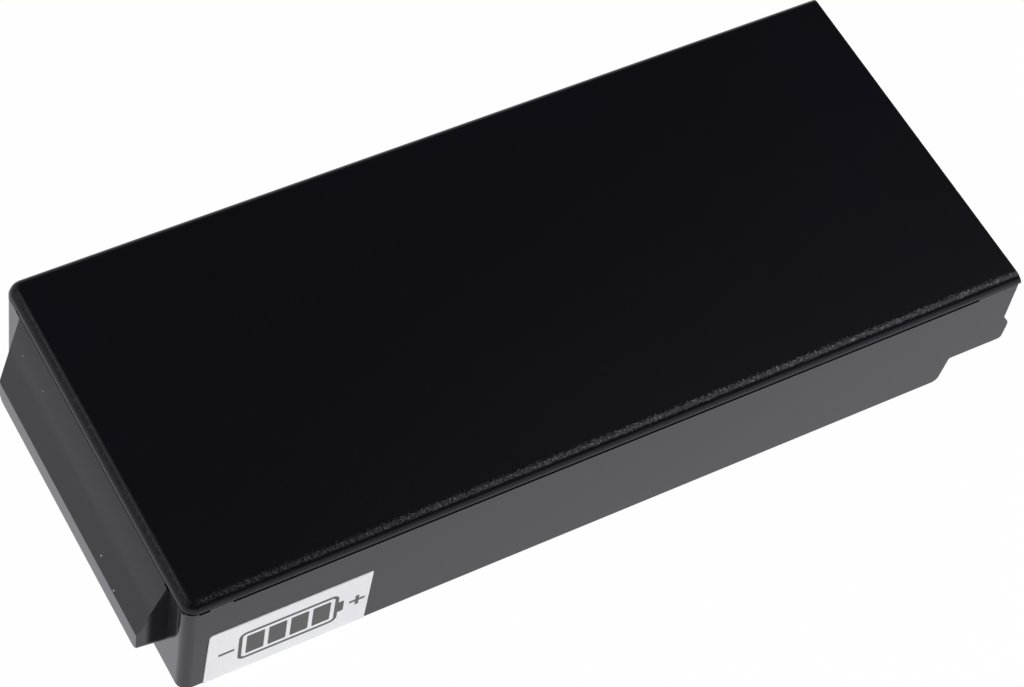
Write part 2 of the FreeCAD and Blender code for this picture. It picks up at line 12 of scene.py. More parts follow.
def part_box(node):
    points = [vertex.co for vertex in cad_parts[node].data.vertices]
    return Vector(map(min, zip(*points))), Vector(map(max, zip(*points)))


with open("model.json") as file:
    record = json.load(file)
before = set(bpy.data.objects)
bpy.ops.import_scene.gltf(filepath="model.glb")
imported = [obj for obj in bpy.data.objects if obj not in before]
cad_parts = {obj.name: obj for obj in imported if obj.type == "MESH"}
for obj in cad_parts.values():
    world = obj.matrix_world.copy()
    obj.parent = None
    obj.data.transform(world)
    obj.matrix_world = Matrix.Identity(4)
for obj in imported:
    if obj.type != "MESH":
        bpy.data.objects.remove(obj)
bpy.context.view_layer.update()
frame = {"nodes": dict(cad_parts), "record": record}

bl_info = {
    "name": "Battery pack looks",
    "version": (1, 0, 0),
    "blender": (4, 5, 0),
    "location": "View3D > Sidebar > Battery pack",
    "description": "Finishes, label print and studio stage for a flat battery pack",
    "category": "Object",
}

MM = 0.001
WHITE = (1.0, 1.0, 1.0)
SENSOR_WIDTH = 36.0

CELLS = [f"cell_{number}" for number in range(1, 7)]
STRIPS = [f"link_{number}" for number in range(1, 6)] + ["output_strip", "return_strip"]
PADS = ["foam_pad_1", "foam_pad_2"]
CONTACTS = ["contact_positive", "contact_negative"]


def recorded_colour(slot):
    """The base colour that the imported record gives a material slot."""
    for entry in frame["record"]["materials"]:
        if entry["slot"] == slot:
            return tuple(entry["base_color"])
    raise ValueError(f"the record has no slot named {slot}")


def colour_property(name, description, default):
    """A colour that a user can change."""
    return FloatVectorProperty(
        name=name, description=description, subtype="COLOR", size=3, min=0.0, max=1.0, default=default
    )


def length_property(name, description, default):
    """A length in metres that a user can change."""
    return FloatProperty(
        name=name, description=description, unit="LENGTH", min=0.0, precision=5, default=default
    )


def share_property(name, description, default):
    """A share from none to all that a user can change."""
    return FloatProperty(
        name=name, description=description, subtype="FACTOR", min=0.0, max=1.0, default=default
    )


def power_property(name, description, default):
    """A lamp's power that a user can change."""
    return FloatProperty(name=name, description=description, unit="POWER", min=0.0, default=default)


def place_property(name, description, default):
    """A place in metres that a user can change."""
    return FloatVectorProperty(
        name=name,
        description=description,
        subtype="TRANSLATION",
        unit="LENGTH",
        size=3,
        precision=5,
        default=default,
    )


def sides_property(name, description, default):
    """The two side lengths of a lamp that a user can change."""
    return FloatVectorProperty(
        name=name, description=description, unit="LENGTH", size=2, min=0.0, precision=5, default=default
    )


class PackFinish(bpy.types.PropertyGroup):
    """Colours and surface values of the pack's finishes."""

    cover_colour: colour_property("Cover", "Colour of the matt lid", recorded_colour("cover_plastic"))
    cover_roughness: share_property("Cover roughness", "Middle roughness of the matt lid", 0.26)
    cover_shine: share_property("Cover shine", "Specular level of the matt lid", 0.3)
    bloom_colour: colour_property("Cover bloom", "Colour of the lid in its smudges", (0.004, 0.0038, 0.0068))
    # Pale specks of this colour are painted on the lid's round edges as painted glints of the lamps on the
    # grain
    painted_glint_colour: colour_property("Painted glints", "Colour of the lid's painted glints", (0.17, 0.17, 0.19))
    painted_glint_spacing: length_property("Glint spacing", "Spacing of the lid's painted glint specks", 0.26 * MM)
    grain_size: length_property("Grain size", "Width of one bump in the lid's grain", 0.3 * MM)
    grain_depth: length_property("Grain depth", "Height of the grain on the label side's round edge", 0.05 * MM)
    housing_colour: colour_property("Housing", "Colour of the tray", recorded_colour("housing_plastic"))
    housing_roughness: share_property("Housing roughness", "Middle roughness of the glossy tray", 0.08)
    dust_share: share_property("Dust", "Share of the tray's dust places that hold a speck", 0.5)
    dust_colour: colour_property("Dust colour", "Colour of a speck of dust", (0.5, 0.5, 0.5))
    label_colour: colour_property("Label", "Colour of the coated sticker", recorded_colour("label_paper"))
    ink_colour: colour_property("Label print", "Colour of the sticker's print", (0.075, 0.075, 0.07))
    sleeve_colour: colour_property("Sleeve", "Colour of the cells' sleeves", recorded_colour("cell_sleeve"))
    nickel_colour: colour_property("Nickel", "Colour of the joining strips", recorded_colour("nickel"))
    plating_colour: colour_property("Plating", "Colour of the contacts", recorded_colour("contact_plating"))
    paper_colour: colour_property("Paper", "Colour of the sheet", recorded_colour("insulating_paper"))
    foam_colour: colour_property("Foam", "Colour of the foam strips", recorded_colour("foam"))
    board_colour: colour_property("Board", "Colour of the circuit board", recorded_colour("board"))
    fuse_colour: colour_property("Fuse", "Colour of the resin on the fuse", recorded_colour("fuse_body"))


class LabelPrint(bpy.types.PropertyGroup):
    """Sizes of the plain battery symbol printed on the sticker."""

    body_length: length_property("Symbol length", "Length of the symbol's outline", 11.6 * MM)
    body_height: length_property("Symbol height", "Height of the symbol's outline", 5.2 * MM)
    corner_radius: length_property("Corner radius", "Corner radius of the symbol's outline", 0.7 * MM)
    line_width: length_property("Line width", "Width of the outline and of the signs", 0.45 * MM)
    bar_count: IntProperty(name="Bars", description="Bars inside the symbol", min=1, max=6, default=4)
    bar_gap: length_property("Bar gap", "Gap round each bar", 0.5 * MM)
    bar_radius: length_property("Bar radius", "Corner radius of a bar", 0.15 * MM)
    knob_length: length_property("Knob length", "Length of the terminal knob", 0.9 * MM)
    knob_height: length_property("Knob height", "Height of the terminal knob", 2.1 * MM)
    knob_radius: length_property("Knob radius", "Corner radius of the terminal knob", 0.2 * MM)
    sign_size: length_property("Sign size", "Length of the plus and minus signs", 1.9 * MM)
    sign_gap: length_property("Sign gap", "Gap between the symbol and a sign", 0.7 * MM)
    print_blur: length_property("Print blur", "Reach of the print's soft edge to each side", 0.02 * MM)


class StageSettings(bpy.types.PropertyGroup):
    """Camera, lamps, floor and world of the studio stage."""

    camera_place: place_property("Camera place", "Where the camera stands", (-0.135798, -0.16863, 0.308672))
    camera_target: place_property("Camera target", "The picture's middle", (0.003007, 0.002297, 0.000195))
    camera_roll: FloatProperty(
        name="Camera roll",
        description="Turn of the picture about the line of sight",
        subtype="ANGLE",
        default=math.radians(12.4409),
    )
    camera_lens: FloatProperty(
        name="Lens", description="Focal length of the camera", unit="CAMERA", min=1.0, default=113.1655
    )
    box_power: power_property("Soft box", "Power of the wide box over the stepped end", 1.35)
    box_place: place_property("Soft box place", "Where the wide box hangs", (0.365, -0.13, 0.6))
    box_sides: sides_property("Soft box sides", "Side lengths of the wide box", (0.39, 0.58))
    edge_power: power_property("Edge box", "Power of the small box for the lid's edge by the ridge", 0.28)
    edge_place: place_property("Edge box place", "Where the small box hangs", (-0.22, 0.34, 0.62))
    edge_sides: sides_property("Edge box sides", "Side lengths of the small box", (0.34, 0.25))
    plain_power: power_property("Plain lamp", "Power of the soft lamp by the camera", 5.4)
    plain_place: place_property("Plain lamp place", "Where the soft lamp hangs", (-0.2, -0.54, 0.69))
    plain_sides: sides_property("Plain lamp sides", "Side lengths of the soft lamp", (0.5, 0.5))
    floor_radius: length_property("Floor radius", "Radius of the round white floor", 3.0)
    floor_gap: length_property("Floor gap", "Gap that keeps the floor off the pack's underside", 0.05 * MM)
    floor_white: share_property("Floor white", "Share of the floor that is plain white in the picture", 0.98)
    floor_colour: colour_property("Floor colour", "Colour of the floor's lit surface", (0.85, 0.85, 0.85))
    floor_shine: colour_property("Floor shine", "Colour of its white in reflections", (0.8, 0.79, 0.85))
    strip_shine: colour_property("Strip shine", "Colour of its strip in reflections", (0.98, 0.955, 1.0))
    horizon_colour: colour_property("Horizon", "Colour of the world's band", (0.68, 0.67, 0.74))
    ceiling_colour: colour_property("Ceiling", "Colour of the world above its band", (0.03, 0.029, 0.042))


def add_node(tree, kind, **settings):
    """Adds a node and sets its plain attributes."""
    node = tree.nodes.new(kind)
    for name, value in settings.items():
        setattr(node, name, value)
    return node


def feed(tree, socket, source):
    """Links a socket to another node's output, or sets it to a plain value."""
    if isinstance(source, bpy.types.NodeSocket):
        tree.links.new(source, socket)
    else:
        socket.default_value = source


def calculate(tree, operation, *sources):
    """Adds one Math node on the given values and gives its result."""
    node = add_node(tree, "ShaderNodeMath", operation=operation)
    for socket, source in zip(node.inputs, sources):
        feed(tree, socket, source)
    return node.outputs[0]


def fold(tree, operation, first, *others):
    """Joins any number of values by one operation, two at a time."""
    result = first
    for other in others:
        result = calculate(tree, operation, result, other)
    return result


def carry_range(tree, source, low, high, start, end):
    """Carries the values from low to high onto start to end, and holds what lies outside."""
    node = add_node(tree, "ShaderNodeMapRange")
    names = ("Value", "From Min", "From Max", "To Min", "To Max")
    for name, value in zip(names, (source, low, high, start, end)):
        feed(tree, node.inputs[name], value)
    return node.outputs["Result"]


def fade(tree, source, empty, full):
    """Gives 0 where the source is at empty and 1 where it is at full, and holds what lies outside."""
    return carry_range(tree, source, empty, full, 0.0, 1.0)


def between(tree, share, start, end):
    """Carries a share from none to all onto start to end."""
    return carry_range(tree, share, 0.0, 1.0, start, end)


def mix_colours(tree, share, first, second):
    """Goes from the first colour to the second by a share that varies over the surface."""
    node = add_node(tree, "ShaderNodeMix", data_type="RGBA")
    feed(tree, node.inputs[0], share)
    feed(tree, node.inputs[6], first)
    feed(tree, node.inputs[7], second)
    return node.outputs[2]


def opaque(colour, factor=1.0):
    """A colour with full alpha, darker or lighter by a factor."""
    return (*(min(1.0, channel * factor) for channel in colour), 1.0)


def mix_shades(tree, share, colour, factors):
    """Goes from one shade of a colour to another by a share that varies over the surface."""
    first, second = factors
    return mix_colours(tree, share, opaque(colour, first), opaque(colour, second))


def noise(tree, place, scale, detail=2.0, roughness=0.5, distortion=0.0):
    """Adds a noise texture and gives its value."""
    node = add_node(tree, "ShaderNodeTexNoise")
    feed(tree, node.inputs["Vector"], place)
    feed(tree, node.inputs["Scale"], scale)
    feed(tree, node.inputs["Detail"], detail)
    feed(tree, node.inputs["Roughness"], roughness)
    feed(tree, node.inputs["Distortion"], distortion)
    return node.outputs[0]


def cell_pattern(tree, place, scale, feature="F1"):
    """Adds a cell texture and gives its outputs."""
    node = add_node(tree, "ShaderNodeTexVoronoi", feature=feature)
    feed(tree, node.inputs["Vector"], place)
    feed(tree, node.inputs["Scale"], scale)
    return node.outputs


def stretch(tree, place, scale):
    """Scales the coordinates by a different factor along each axis."""
    node = add_node(tree, "ShaderNodeMapping")
    feed(tree, node.inputs["Vector"], place)
    node.inputs["Scale"].default_value = scale
    return node.outputs["Vector"]


def split_axes(tree, place):
    """Gives the x, y and z of the coordinates."""
    node = add_node(tree, "ShaderNodeSeparateXYZ")
    feed(tree, node.inputs[0], place)
    return node.outputs


def split_colour(tree, colour):
    """Gives the three channels of a colour."""
    node = add_node(tree, "ShaderNodeSeparateColor")
    feed(tree, node.inputs[0], colour)
    return node.outputs


def inset(tree, along, low, high):
    """Distance of a place from the nearer of two opposite faces."""
    off = calculate(tree, "ABSOLUTE", calculate(tree, "SUBTRACT", along, (low + high) / 2))
    return calculate(tree, "SUBTRACT", (high - low) / 2, off)


def raise_surface(tree, shader, height, depth, strength=1.0):
    """Feeds a height through a Bump node to the shader's normal."""
    bump = add_node(tree, "ShaderNodeBump")
    feed(tree, bump.inputs["Strength"], strength)
    bump.inputs["Distance"].default_value = depth
    feed(tree, bump.inputs["Height"], height)
    feed(tree, shader.inputs["Normal"], bump.outputs["Normal"])


def new_group(name, inputs, outputs):
    """Makes an empty shader node group; gives it with its entry sockets and its leaving sockets."""
    group = bpy.data.node_groups.new(name, "ShaderNodeTree")
    for socket_name, kind in inputs.items():
        group.interface.new_socket(name=socket_name, in_out="INPUT", socket_type=kind)
    for socket_name in outputs:
        group.interface.new_socket(name=socket_name, in_out="OUTPUT", socket_type="NodeSocketFloat")
    entry = add_node(group, "NodeGroupInput")
    leave = add_node(group, "NodeGroupOutput")
    return group, entry.outputs, leave.inputs


PATTERN_INPUTS = {"Vector": "NodeSocketVector", "Scale": "NodeSocketFloat"}


def grain_group():
    """Moulded grain: a height, which is noise less a cell pattern, and a mask of the noise's tips."""
    cell_scale, cell_depth = 0.8, 0.6
    tips_empty, tips_full = 0.55, 0.75
    group, entry, leave = new_group("Moulded grain", PATTERN_INPUTS, ["Height", "Tips"])
    fine = noise(group, entry["Vector"], entry["Scale"], detail=1.0)
    larger = calculate(group, "MULTIPLY", entry["Scale"], cell_scale)
    cells = cell_pattern(group, entry["Vector"], larger, "SMOOTH_F1")
    hollows = calculate(group, "MULTIPLY", cells["Distance"], cell_depth)
    feed(group, leave["Height"], calculate(group, "SUBTRACT", fine, hollows))
    feed(group, leave["Tips"], fade(group, fine, tips_empty, tips_full))
    return group


def painted_glint_group():
    """Painted glints: a soft pale dot in each cell of a cell pattern, paler in some cells than in others; the
    dots are painted highlights that stand for the lamps' glints on the grain's tips.
    """
    dot_rim, dot_core = 0.55, 0.2
    group, entry, leave = new_group("Painted glints", PATTERN_INPUTS, ["Specks"])
    cells = cell_pattern(group, entry["Vector"], entry["Scale"])
    number = split_colour(group, cells["Color"])[0]
    paleness = calculate(group, "MULTIPLY", number, number)
    dot = fade(group, cells["Distance"], dot_rim, dot_core)
    feed(group, leave["Specks"], calculate(group, "MULTIPLY", dot, paleness))
    return group


def smudge_group():
    """Handling marks: a slow noise stirred by itself, from 0 where the surface is clean to 1 in a smudge."""
    clean, smudged = 0.35, 0.7
    group, entry, leave = new_group("Handling marks", PATTERN_INPUTS, ["Smudge"])
    slow = noise(group, entry["Vector"], entry["Scale"], detail=4.0, roughness=0.55, distortion=0.6)
    feed(group, leave["Smudge"], fade(group, slow, clean, smudged))
    return group


def dust_group():
    """Dust: a small dot in the middle of some cells of a cell pattern, picked by each cell's own numbers."""
    smallest, largest = 0.03, 0.08
    group, entry, leave = new_group("Dust specks", {**PATTERN_INPUTS, "Share": "NodeSocketFloat"}, ["Speck"])
    cells = cell_pattern(group, entry["Vector"], entry["Scale"])
    numbers = split_colour(group, cells["Color"])
    inside = calculate(group, "LESS_THAN", cells["Distance"], between(group, numbers[1], smallest, largest))
    picked = calculate(group, "LESS_THAN", numbers[0], entry["Share"])
    feed(group, leave["Speck"], calculate(group, "MULTIPLY", inside, picked))
    return group


def bar_group():
    """Distance to a rounded bar in the x-z plane: negative inside it and zero on its edge."""
    inputs = {"Vector": "NodeSocketVector"}
    for name in ("Middle X", "Middle Z", "Length", "Height", "Radius"):
        inputs[name] = "NodeSocketFloat"
    group, entry, leave = new_group("Rounded bar", inputs, ["Distance"])
    axes = split_axes(group, entry["Vector"])
    beyond = []
    for axis, middle, size in ((0, "Middle X", "Length"), (2, "Middle Z", "Height")):
        off = calculate(group, "ABSOLUTE", calculate(group, "SUBTRACT", axes[axis], entry[middle]))
        inner = calculate(group, "MULTIPLY_ADD", entry[size], -0.5, entry["Radius"])
        beyond.append(calculate(group, "ADD", off, inner))
    outside = [calculate(group, "MAXIMUM", value, 0.0) for value in beyond]
    squares = [calculate(group, "MULTIPLY", value, value) for value in outside]
    corner = calculate(group, "SQRT", calculate(group, "ADD", *squares))
    inside = calculate(group, "MINIMUM", calculate(group, "MAXIMUM", *beyond), 0.0)
    distance = calculate(group, "SUBTRACT", calculate(group, "ADD", corner, inside), entry["Radius"])
    feed(group, leave["Distance"], distance)
    return group


def brushed_group():
    """Rolling marks: a noise drawn out along x."""
    drawn_out = (0.05, 1.0, 1.0)
    group, entry, leave = new_group("Rolling marks", PATTERN_INPUTS, ["Marks"])
    drawn = stretch(group, entry["Vector"], drawn_out)
    feed(group, leave["Marks"], noise(group, drawn, entry["Scale"], detail=3.0, roughness=0.6))
    return group


GROUP_MAKERS = {
    "Moulded grain": grain_group,
    "Painted glints": painted_glint_group,
    "Handling marks": smudge_group,
    "Dust specks": dust_group,
    "Rounded bar": bar_group,
    "Rolling marks": brushed_group,
}


def use_group(tree, name, **values):
    """Places a shared node group, which is made at its first use, and feeds its inputs by name."""
    group = bpy.data.node_groups.get(name) or GROUP_MAKERS[name]()
    node = add_node(tree, "ShaderNodeGroup", node_tree=group)
    for socket_name, value in values.items():
        feed(tree, node.inputs[socket_name.replace("_", " ")], value)
    return node.outputs


def new_finish(name):
    """A new material; gives it with its tree, its shader and the object's own coordinates."""
    material = bpy.data.materials.new(name)
    material.use_nodes = True
    tree = material.node_tree
    place = add_node(tree, "ShaderNodeTexCoord").outputs["Object"]
    return material, tree, tree.nodes["Principled BSDF"], place


def dress(node_names, material):
    """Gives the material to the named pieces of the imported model."""
    for name in node_names:
        materials = frame["nodes"][name].data.materials
        materials.clear()
        materials.append(material)


class DressCover(bpy.types.Operator):
    """Gives the lid its matt black plastic with a moulded grain, and paints pale specks on the upper part of
    its round edges as glints of the lamps, more of them towards the stepped end
    """

    bl_idname = "battery_pack.dress_cover"
    bl_label = "Dress cover"

    smudge_scale = 35.0
    grain_shades = (0.8, 1.1)
    roughness_change = 0.015
    flat_strength = 0.2
    # Painted glints on the label side's edge, a painted highlight: their share at the ridge end, and the part
    # of the length where it grows
    glint_start = 0.12
    glint_reach = 0.6
    # Painted glints on the ends: the share between the specks and the share in a speck
    end_glint_shares = (0.04, 0.3)
    # Distances from the label side where its band of painted glints ends and where it is full
    side_band_inner = (1.4 * MM, 1.05 * MM)
    # Depths below the lid's top where a band of painted glints ends and where it is full
    side_band_foot = (0.24 * MM, 0.07 * MM)
    end_band_top = (0.005 * MM, 0.057 * MM)
    end_band_foot = (0.4 * MM, 0.18 * MM)

    def execute(self, context):
        finish = context.scene.pack_finish
        material, tree, shader, place = new_finish("cover_plastic")
        grain = use_group(tree, "Moulded grain", Vector=place, Scale=1.0 / finish.grain_size)
        smudge = use_group(tree, "Handling marks", Vector=place, Scale=self.smudge_scale)["Smudge"]
        specks = use_group(tree, "Painted glints", Vector=place, Scale=1.0 / finish.painted_glint_spacing)["Specks"]
        side_edge, end_edge = self.edge_masks(tree, place)
        plastic = mix_shades(tree, grain["Tips"], finish.cover_colour, self.grain_shades)
        smudged = mix_colours(tree, smudge, plastic, opaque(finish.bloom_colour))
        # Pale specks painted on the round edges as the lamps' glints on the grain, a painted highlight
        side_glints = fold(tree, "MULTIPLY", side_edge, specks, self.glints_along(tree, place))
        end_glints = calculate(tree, "MULTIPLY", end_edge, between(tree, specks, *self.end_glint_shares))
        painted_glints = calculate(tree, "MAXIMUM", side_glints, end_glints)
        colour = mix_colours(tree, painted_glints, smudged, opaque(finish.painted_glint_colour))
        feed(tree, shader.inputs["Base Color"], colour)
        dull = finish.cover_roughness + self.roughness_change
        glossy = finish.cover_roughness - self.roughness_change
        feed(tree, shader.inputs["Roughness"], between(tree, smudge, dull, glossy))
        shader.inputs["Specular IOR Level"].default_value = finish.cover_shine
        strength = between(tree, side_edge, self.flat_strength, 1.0)
        raise_surface(tree, shader, grain["Height"], finish.grain_depth, strength)
        dress(["cover"], material)
        return {"FINISHED"}

    def glints_along(self, tree, place):
        """Share of the painted glints along the lid, a painted highlight that grows towards the stepped end:
        little at the ridge end, full from part of the way on.
        """
        low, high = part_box("cover")
        full = low.x + self.glint_reach * (high.x - low.x)
        return carry_range(tree, split_axes(tree, place)["X"], low.x, full, self.glint_start, 1.0)

    def edge_masks(self, tree, place):
        """Masks of the upper part of the round edge where glints are painted: one for the label side and one
        for the ends.
        """
        low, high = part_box("cover")
        axes = split_axes(tree, place)
        from_side = inset(tree, axes["Y"], low.y, high.y)
        from_end = inset(tree, axes["X"], low.x, high.x)
        by_end = calculate(tree, "LESS_THAN", from_end, from_side)
        by_side = calculate(tree, "SUBTRACT", 1.0, by_end)
        from_label_side = calculate(tree, "SUBTRACT", axes["Y"], low.y)
        depth = calculate(tree, "SUBTRACT", high.z, axes["Z"])
        side_inner = fade(tree, from_label_side, *self.side_band_inner)
        side_foot = fade(tree, depth, *self.side_band_foot)
        end_top = fade(tree, depth, *self.end_band_top)
        end_foot = fade(tree, depth, *self.end_band_foot)
        side_edge = fold(tree, "MULTIPLY", side_inner, side_foot, by_side)
        end_edge = fold(tree, "MULTIPLY", end_top, end_foot, by_end)
        return side_edge, end_edge


class DressHousing(bpy.types.Operator):
    """Gives the tray its smooth glossy black plastic with a little dust and grime"""

    bl_idname = "battery_pack.dress_housing"
    bl_label = "Dress housing"

    smudge_scale = 60.0
    dust_scale = 500.0
    dust_slope = 0.2
    grain_scale = 2600.0
    grain_shades = (0.6, 0.9)
    grain_depth = 0.001 * MM
    gloss_change = (-0.02, 0.04)
    # The ridge's end face on the label side lies about between these distances from that side
    ridge_end_near = 4.05 * MM
    ridge_end_far = 4.5 * MM
    # Each pair says where the grime ends and where it is full
    seam_grime = (0.6 * MM, 0.45 * MM)
    lip_grime = (0.7 * MM, 1.7 * MM)
    foot_grime = (5.0 * MM, 5.8 * MM)
    wall_grime = (1.2 * MM, 2.2 * MM)
    # On the end wall the grime's foot rises by this slope towards the label side
    slant = 1.8
    slant_grime = (12.2 * MM, 13.2 * MM)
    end_margin = 0.2 * MM

    def execute(self, context):
        finish = context.scene.pack_finish
        material, tree, shader, place = new_finish("housing_plastic")
        smudge = use_group(tree, "Handling marks", Vector=place, Scale=self.smudge_scale)["Smudge"]
        grain = use_group(tree, "Moulded grain", Vector=place, Scale=self.grain_scale)
        dust = self.dust(tree, place, finish.dust_share)
        plastic = mix_shades(tree, grain["Tips"], finish.housing_colour, self.grain_shades)
        colour = mix_colours(tree, dust, plastic, opaque(finish.dust_colour))
        feed(tree, shader.inputs["Base Color"], colour)
        clean, smudged = (finish.housing_roughness + change for change in self.gloss_change)
        gloss = between(tree, smudge, clean, smudged)
        dull = calculate(tree, "MAXIMUM", dust, self.grime(tree, place))
        feed(tree, shader.inputs["Roughness"], calculate(tree, "MAXIMUM", gloss, dull))
        raise_surface(tree, shader, grain["Height"], self.grain_depth)
        dress(["housing"], material)
        return {"FINISHED"}

    def dust(self, tree, place, share):
        """Mask of the dust, which lies only on faces that look upwards."""
        specks = use_group(tree, "Dust specks", Vector=place, Scale=self.dust_scale, Share=share)["Speck"]
        facing = split_axes(tree, add_node(tree, "ShaderNodeNewGeometry").outputs["Normal"])["Z"]
        upward = calculate(tree, "GREATER_THAN", facing, self.dust_slope)
        return calculate(tree, "MULTIPLY", specks, upward)

    def grime(self, tree, place):
        """Mask of the dull line under the lid on the ridge end, and of the dull hollow beside the ridge."""
        low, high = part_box("housing")
        axes = split_axes(tree, place)
        from_side = calculate(tree, "SUBTRACT", axes["Y"], low.y)
        from_lip = calculate(tree, "SUBTRACT", axes["X"], low.x)
        height = calculate(tree, "SUBTRACT", axes["Z"], low.z)
        below_lid = fade(tree, calculate(tree, "SUBTRACT", high.z, axes["Z"]), *self.seam_grime)
        past_wall = calculate(tree, "GREATER_THAN", from_side, self.ridge_end_near)
        before_slope = calculate(tree, "LESS_THAN", from_side, self.ridge_end_far)
        behind_lip = fade(tree, from_lip, *self.lip_grime)
        above_foot = fade(tree, height, *self.foot_grime)
        on_ridge = fold(tree, "MULTIPLY", past_wall, before_slope, behind_lip, above_foot)
        before_ridge = calculate(tree, "LESS_THAN", from_side, self.ridge_end_near)
        past_corner = fade(tree, from_side, *self.wall_grime)
        slanted = calculate(tree, "MULTIPLY_ADD", from_side, self.slant, height)
        above_slant = fade(tree, slanted, *self.slant_grime)
        on_wall = fold(tree, "MULTIPLY", before_ridge, past_corner, above_slant)
        on_end = calculate(tree, "LESS_THAN", axes["X"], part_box("cover")[0].x + self.end_margin)
        return calculate(tree, "MULTIPLY", fold(tree, "MAXIMUM", below_lid, on_ridge, on_wall), on_end)


class DressLabel(bpy.types.Operator):
    """Gives the sticker its coated white paper and a plain printed battery symbol"""

    bl_idname = "battery_pack.dress_label"
    bl_label = "Dress label"

    fibre_stretch = (1.0, 1.0, 2.5)
    fibre_scale = 2200.0
    fibre_depth = 0.004 * MM
    mottle_range = (0.3, 0.7)
    paper_shades = (0.97, 1.02)
    wear_range = (0.35, 0.7)
    most_wear = 0.35
    ink_shades = (1.0, 1.7)
    roughness_range = (0.42, 0.52)

    def execute(self, context):
        finish = context.scene.pack_finish
        material, tree, shader, place = new_finish("label_paper")
        ink = self.print_mask(tree, place, context.scene.label_print)
        drawn = stretch(tree, place, self.fibre_stretch)
        fibres = noise(tree, drawn, self.fibre_scale, detail=3.0, roughness=0.6)
        mottle = fade(tree, fibres, *self.mottle_range)
        paper = mix_shades(tree, mottle, finish.label_colour, self.paper_shades)
        wear = carry_range(tree, fibres, *self.wear_range, 0.0, self.most_wear)
        print_colour = mix_shades(tree, wear, finish.ink_colour, self.ink_shades)
        feed(tree, shader.inputs["Base Color"], mix_colours(tree, ink, paper, print_colour))
        feed(tree, shader.inputs["Roughness"], between(tree, mottle, *self.roughness_range))
        raise_surface(tree, shader, fibres, self.fibre_depth)
        dress(["label"], material)
        return {"FINISHED"}

    def print_mask(self, tree, place, sizes):
        """Mask of the symbol: outline, knob, bars inside it, and a plus and a minus sign beside it."""
        low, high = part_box("label")
        middle_x = (low.x + high.x) / 2
        middle_z = (low.z + high.z) / 2

        def bar(off, length, height, radius=0.0):
            """Distance to a rounded bar on the symbol's middle line, off its middle by a distance."""
            values = {"Middle_X": middle_x + off, "Middle_Z": middle_z}
            values.update(Length=length, Height=height, Radius=radius)
            return use_group(tree, "Rounded bar", Vector=place, **values)["Distance"]

        half = sizes.body_length / 2
        body = bar(0.0, sizes.body_length, sizes.body_height, sizes.corner_radius)
        outline = calculate(tree, "SUBTRACT", calculate(tree, "ABSOLUTE", body), sizes.line_width / 2)
        knob_off = half + sizes.knob_length / 2
        shapes = [outline, bar(knob_off, sizes.knob_length, sizes.knob_height, sizes.knob_radius)]
        inner_length = sizes.body_length - sizes.line_width - sizes.bar_gap
        pitch = inner_length / sizes.bar_count
        bar_height = sizes.body_height - sizes.line_width - 2 * sizes.bar_gap
        for number in range(sizes.bar_count):
            bar_off = (number + 0.5) * pitch - inner_length / 2
            shapes.append(bar(bar_off, pitch - sizes.bar_gap, bar_height, sizes.bar_radius))
        reach = half + sizes.sign_gap + sizes.sign_size / 2
        plus_off = reach + sizes.knob_length
        shapes.append(bar(plus_off, sizes.sign_size, sizes.line_width))
        shapes.append(bar(plus_off, sizes.line_width, sizes.sign_size))
        shapes.append(bar(-reach, sizes.sign_size, sizes.line_width))
        nearest = fold(tree, "MINIMUM", *shapes)
        return fade(tree, nearest, sizes.print_blur, -sizes.print_blur)


class DressCells(bpy.types.Operator):
    """Gives the cells their printed shrink sleeve and bare steel ends"""

    bl_idname = "battery_pack.dress_cells"
    bl_label = "Dress cells"

    cap_depth = 0.25 * MM
    band_depth = 7.0 * MM
    marks_scale = 3000.0
    marks_depth = 0.004 * MM
    smudge_scale = 120.0
    sleeve_shades = (1.0, 1.25)
    band_shade = 0.9
    steel_shades = (0.8, 1.15)
    roughness_range = (0.22, 0.34)

    def execute(self, context):
        finish = context.scene.pack_finish
        material, tree, shader, place = new_finish("cell_sleeve")
        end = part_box("cell_1")[1].y
        along = calculate(tree, "ABSOLUTE", split_axes(tree, place)["Y"])
        cap = calculate(tree, "GREATER_THAN", along, end - self.cap_depth)
        band = calculate(tree, "GREATER_THAN", along, end - self.band_depth)
        marks = use_group(tree, "Rolling marks", Vector=place, Scale=self.marks_scale)["Marks"]
        smudge = use_group(tree, "Handling marks", Vector=place, Scale=self.smudge_scale)["Smudge"]
        sleeve = mix_shades(tree, smudge, finish.sleeve_colour, self.sleeve_shades)
        printed = mix_colours(tree, band, sleeve, opaque(finish.label_colour, self.band_shade))
        steel = mix_shades(tree, marks, finish.nickel_colour, self.steel_shades)
        feed(tree, shader.inputs["Base Color"], mix_colours(tree, cap, printed, steel))
        feed(tree, shader.inputs["Metallic"], cap)
        feed(tree, shader.inputs["Roughness"], between(tree, smudge, *self.roughness_range))
        raise_surface(tree, shader, marks, self.marks_depth)
        dress(CELLS, material)
        return {"FINISHED"}


